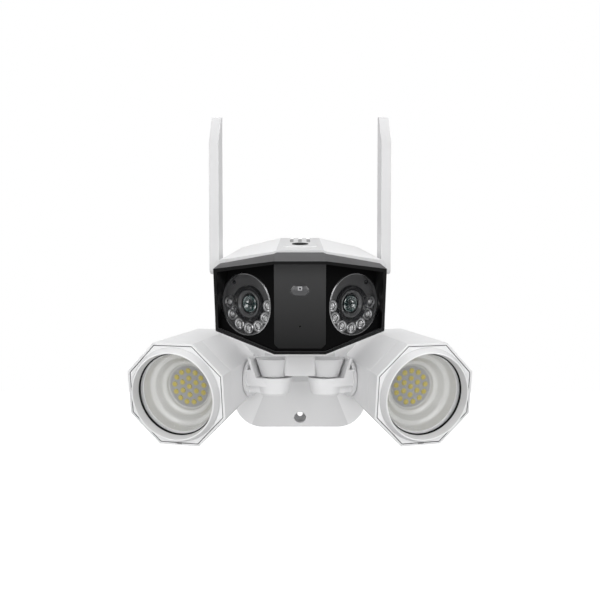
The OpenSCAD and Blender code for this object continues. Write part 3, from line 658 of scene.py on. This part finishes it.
def centre_painted_reflection(low, high):
    """Satin black painted a little lighter towards the top, a painted reflection of the light above. low and high
    are heights in metres.
    """
    made, shader = shader_of("centre_black_painted_reflection", (0.02, 0.02, 0.021), 0.36, Specular_IOR_Level=0.35)
    tree = made.node_tree
    place = tree.nodes.new("ShaderNodeTexCoord")
    split = tree.nodes.new("ShaderNodeSeparateXYZ")
    span = tree.nodes.new("ShaderNodeMapRange")
    span.inputs["From Min"].default_value = low
    span.inputs["From Max"].default_value = high
    mix = tree.nodes.new("ShaderNodeMix")
    mix.data_type = "RGBA"
    mix.inputs["A"].default_value = (0.004, 0.004, 0.0042, 1)
    mix.inputs["B"].default_value = (0.052, 0.052, 0.053, 1)
    tree.links.new(place.outputs["Object"], split.inputs[0])
    tree.links.new(split.outputs["Z"], span.inputs["Value"])
    tree.links.new(span.outputs[0], mix.inputs["Factor"])
    tree.links.new(mix.outputs["Result"], shader.inputs["Base Color"])
    vary_roughness(made, shader, 6 * MM, 0.33, 0.4)
    add_grain(made, shader, 0.9 * MM, 0.006 * MM)
    return made


def spread_lip(shell):
    """Spreads the head shell's front edge so that it shows as a thin rim round the black frame.

    It spreads most at the frame's corners, and less at the outer low ones, which a tilted
    lamp's collar passes closely."""
    on_edge, corner_start, corner_end, upper = 4 * MM, 65.5 * MM, 68 * MM, 60 * MM
    along_step, corner_step, outer_high_step, outer_low_step = 0.5, 1.9, 1.6, 1.0
    rim = frame["nodes"]["front_frame"].data.vertices
    near = KDTree(len(rim))
    for i, vert in enumerate(rim):
        near.insert(vert.co, i)
    near.balance()
    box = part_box("front_frame")
    middle = (box[0] + box[1]) / 2
    for vert in shell.data.vertices:
        if near.find(vert.co)[2] < on_edge:
            away = vert.co - middle
            step = along_step
            if corner_start < abs(vert.co.x) < corner_end:
                step = corner_step
            elif abs(vert.co.x) > corner_end:
                step = outer_high_step if vert.co.z > upper else outer_low_step
            vert.co += step * MM * Vector((away.x, 0, away.z)).normalized()


def dress_head():
    """The head's shell, roof plug, black frame and panels, and the fork that carries it."""
    roof_half, roof_height, groove_width, grooves_half = 19 * MM, 96 * MM, 3.6 * MM, 9.5 * MM
    corner_start, end_start, widening = 67.5 * MM, 62 * MM, 2.2 * MM
    shell = softened("head_shell", WHITE, 1.2 * MM, crease=9)
    spread_lip(shell)
    corners = shell.data.vertices

    def on_roof(face):
        """The flat strip along the middle of the roof."""
        return face.normal.z > 0.9 and abs(face.center.x) < roof_half and face.center.z > roof_height

    def in_groove(face):
        """The narrow grooves of that strip, which get painted shade."""
        across = [corners[i].co.x for i in face.vertices]
        narrow = max(across) - min(across) < groove_width
        return on_roof(face) and narrow and abs(face.center.x) < grooves_half

    def corner(edge):
        """The frame's outer corners get the full rounding, and its other edges a fraction of it."""
        run = (edge.verts[1].co - edge.verts[0].co).normalized()
        outside = min(abs(v.co.x) for v in edge.verts) > corner_start
        return 1.0 if outside and abs(run.y) > 0.5 else 0.17

    # painted shade: the roof's middle strip gets a greyer white than its sides
    second_paint(shell, WHITE_ROOF_PAINTED_SHADE, on_roof)
    # painted shade: the groove floors get a dark grey, the shade inside them
    second_paint(shell, WHITE_GROOVE_PAINTED_SHADE, in_groove)
    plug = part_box("service_plug")
    lid_middle = Vector((0, plug[0].y + 7.6 * MM, plug[1].z + 1.45 * MM))
    roof_slope = Vector((0, -0.14, 0.99))
    lid = facing(lid_middle, roof_slope, Vector((1, 0, 0)))
    lid_outline = [(0, -0.25), (6.0, -0.25), (6.7, 0), (6.9, 0.4), (6.9, 3.0), (0, 3.0)]
    cap = turned("plug_cap", lid_outline, [lid], RUBBER, "head")
    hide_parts("service_plug")

    hood = softened("front_frame", FRAME_BLACK, 3.0 * MM, crease=9, weight=corner)
    # painted reflection: the hood's upward faces get a paler black, as if they mirrored the light overhead
    second_paint(hood, VISOR_PAINTED_REFLECTION, lambda f: f.normal.z > 0.6)
    panel = softened("front_panel", PANEL_BLACK, 0.3 * MM, crease=9)
    for vert in panel.data.vertices:
        if abs(vert.co.x) > end_start:
            vert.co += widening * Vector((0.8 if vert.co.x > 0 else -0.8, 0.6, 0))
    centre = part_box("centre_panel")
    # painted reflection: the centre panel is painted lighter towards its top
    softened("centre_panel", centre_painted_reflection(centre[0].z, centre[1].z), 0.6 * MM)
    # painted shade: the fork under the head gets the darker white
    softened("head_fork", WHITE_PAINTED_SHADE, 0.6 * MM)
    dress_sensor()


def dress_sensor():
    """An elongated six-sided window with a small light square at its top."""
    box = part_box("sensor_window")
    place = head_place()
    local = place.inverted() @ ((box[0] + box[1]) / 2)
    middle = place @ Matrix.Translation((0, 0, local.z))
    window = [(7.1, 0), (6.6, 1.2), (4.9, 3.3), (3.9, 3.75), (-3.9, 3.75), (-4.9, 3.3), (-6.6, 1.2),
              (-7.1, 0), (-6.6, -1.2), (-4.9, -3.3), (-3.9, -3.75), (3.9, -3.75), (4.9, -3.3), (6.6, -1.2)]
    wider, taller = 1.1, 1.16
    rim = [(x * wider, z * taller) for x, z in window]
    outline = mesh_object("sensor_rim", plate_mesh("sensor_rim", rim, middle, front=-0.12, back=0.5,
                                                   edge=0.3), LENS_BLACK)
    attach(outline, "head")
    glass = mesh_object("sensor_face", plate_mesh("sensor_face", window, middle, front=-0.3, back=0.5,
                                                  edge=0.35), SENSOR_GREY)
    stand_for(glass, "sensor_window")
    for name, half, rise, front, paint in (("sensor_frame", 1.75, 1.85, -0.42, SENSOR_LIGHT),
                                           ("sensor_eye", 0.8, 1.75, -0.5, LENS_BLACK)):
        low, high = rise - half * 0.9, rise + half * 0.9
        square = [(half, high), (-half, high), (-half, low), (half, low)]
        piece = mesh_object(name, plate_mesh(name, square, middle, front, back=-0.1, edge=0.08), paint)
        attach(piece, "head")


def dress_pods():
    """What shows behind the round windows: the lenses, their barrels and the infrared lamps."""
    pods = [window_place(side) for side in SIDES]
    lamp_circle, screw_circle = 20, 23.2

    def part(name, outline, paint, *nodes, places=pods, slot="lens_black", segments=96):
        """A turned piece in each place, which hides the nodes that it replaces. slot is not used."""
        piece = turned(name, outline, places, paint, "head", segments)
        if nodes:
            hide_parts(*nodes)

    def on_arc(radius, angles):
        """Points in mm round a window's middle, at these angles in degrees."""
        return [(radius * cos(radians(a)), radius * sin(radians(a))) for a in angles]

    def around(centres):
        """The same places in both pods."""
        return [pod @ Matrix.Translation((MM * x, 0, MM * z)) for pod in pods for x, z in centres]

    part("window_edges", [(26.05, 1.2), (26.0, 0.5), (25.2, -0.12), (24.7, -0.08), (24.9, 0.1), (25.7, 1.3)],
         EDGE_STEEL, slot="window_glass")
    part("lens_wells", [(25.9, 1.5), (25.5, 1.5), (25.4, 5.3), (25.9, 5.3)], RING_GREY)
    part("lens_barrels", [
        (15, 9), (15, 2.5), (14.7, 2.0), (13.9, 1.9), (13.6, 2.2), (13.5, 2.6), (12.9, 2.6), (12.6, 2.9),
        (12.5, 3.3), (11.9, 3.3), (11.6, 3.6), (11.5, 4.2), (8.3, 5.3), (8.0, 6.0), (7.6, 6.1), (7.3, 7.2),
        (0, 7.2), (0, 24.5), (10.8, 24.5), (10.8, 9)], LENS_BLACK, "lens_barrel_left", "lens_barrel_right")
    part("lens_rings", [
        (11.4, 4.2), (11.2, 3.2), (10.8, 2.9), (10.3, 2.8), (9.4, 3.6), (8.6, 5.2), (8.6, 5.6)], RING_GREY)
    hollow = [(9.5 * sin(radians(a)), 9.5 * cos(radians(a)) - 2.3) for a in range(6, 43, 6)]
    part("lens_elements", [(0, 7.2), *hollow, (6.7, 4.9), (6.7, 7.25), (0, 7.25)], ELEMENT, slot="lens_glass")
    dome = [(7.4 * sin(radians(a)), 6.7 - 2.3 * cos(radians(a))) for a in range(15, 91, 15)]
    part("lens_domes", [(0, 4.4), *dome, (0, 6.75)], LENS_DOME, "lens_glasses")
    lamps = around(on_arc(lamp_circle, range(180, 361, 30)))
    part("infrared_cups", [
        (0, 5.1), (1.3, 5.05), (1.5, 4.6), (2.6, 4.3), (2.8, 3.9), (3.9, 3.6), (4.1, 3.2), (4.6, 3.2),
        (4.9, 3.6), (4.9, 5.35), (0, 5.35)], CUP_STEEL, places=lamps, slot="ir_plate", segments=32)
    part("infrared_rings", [(2.5, 4.1), (2.55, 3.75), (3.0, 3.5), (3.1, 3.6), (3.1, 4.1)], LENS_BLACK,
         places=lamps, slot="ir_plate", segments=32)
    part("infrared_chips", [(0, 4.5), (0.75, 4.55), (1.1, 4.7), (1.1, 5.05), (0, 5.05)], CHIP_WHITE,
         places=lamps, slot="ir_clear", segments=16)
    bead = [(4.0 * sin(radians(a)), 4.4 - 2.7 * cos(radians(a))) for a in range(15, 91, 15)]
    part("infrared_beads", [(0, 1.7), *bead, (4.0, 4.6), (0, 4.6)], RESIN, "ir_lamps",
         places=lamps, segments=32)
    part("pod_screws", [(0, 5.0), (0.7, 5.0), (0.8, 4.6), (1.4, 4.5), (1.7, 4.8), (1.75, 5.45), (0, 5.45)],
         LENS_BLACK, places=around(on_arc(screw_circle, (45, 135))), slot="screw_steel", segments=24)


def dress_antenna(side):
    """One antenna's blade."""
    softened(f"antenna_{side}", WHITE_BLADE, 0.7 * MM)


# ---- CAD nodes that show as they are ----

CAD_PAINT = {
    "base_plate": ZINC, "base_screws": STEEL, "cable_grommet": RUBBER, "driver_board": CIRCUIT,
    "terminal_block": IVORY, "bracket_screws": STEEL, "swivel_bolts": STEEL, "swivel_washers": RUBBER,
    "pan_bolt": STEEL, "head_pivot": STEEL, "lens_windows": LENS_PANE, "ir_boards": PLATE_GREY,
    "main_board": CIRCUIT, "speaker": LENS_BLACK, "head_screws": STEEL, "antenna_pivots": STEEL,
}
PAIR_PAINT = {
    "tilt_bolt": STEEL, "lamp_glass": LAMP_GLASS, "led_board": LED_GREY, "heat_sink": CAST,
    "lamp_screws": STEEL,
}


def paint_cad_nodes():
    """Gives every CAD node that still shows its own finish."""
    paints = dict(CAD_PAINT)
    for name, paint in PAIR_PAINT.items():
        for side in SIDES:
            paints[f"{name}_{side}"] = paint
    for name, paint in paints.items():
        mesh = frame["nodes"][name].data
        for i in range(len(mesh.materials)):
            mesh.materials[i] = paint


# ---- the scene ----

bpy.context.scene.view_settings.view_transform = "Standard"
add_camera()
add_world()
add_floor()
for side, sign in zip(SIDES, (-1, 1)):
    add_softbox(f"{side}_light", azimuth=sign * 26, elevation=12, distance=1.6,
                width=0.8, height=0.8, watts=6.8)
    add_softbox(f"{side}_low_light", azimuth=sign * 40, elevation=-26, distance=1.6,
                width=0.6, height=0.4, watts=3)
    add_softbox(f"{side}_edge_light", azimuth=sign * 84, elevation=22, distance=1.6,
                width=0.4, height=0.8, watts=4)
add_softbox("top_light", azimuth=0, elevation=80, distance=1.4, width=1.4, height=1.0, watts=14)
paint_cad_nodes()
dress_base()
dress_head()
dress_pods()
for side in SIDES:
    dress_arm(side)
    dress_lamp(side)
    dress_antenna(side)
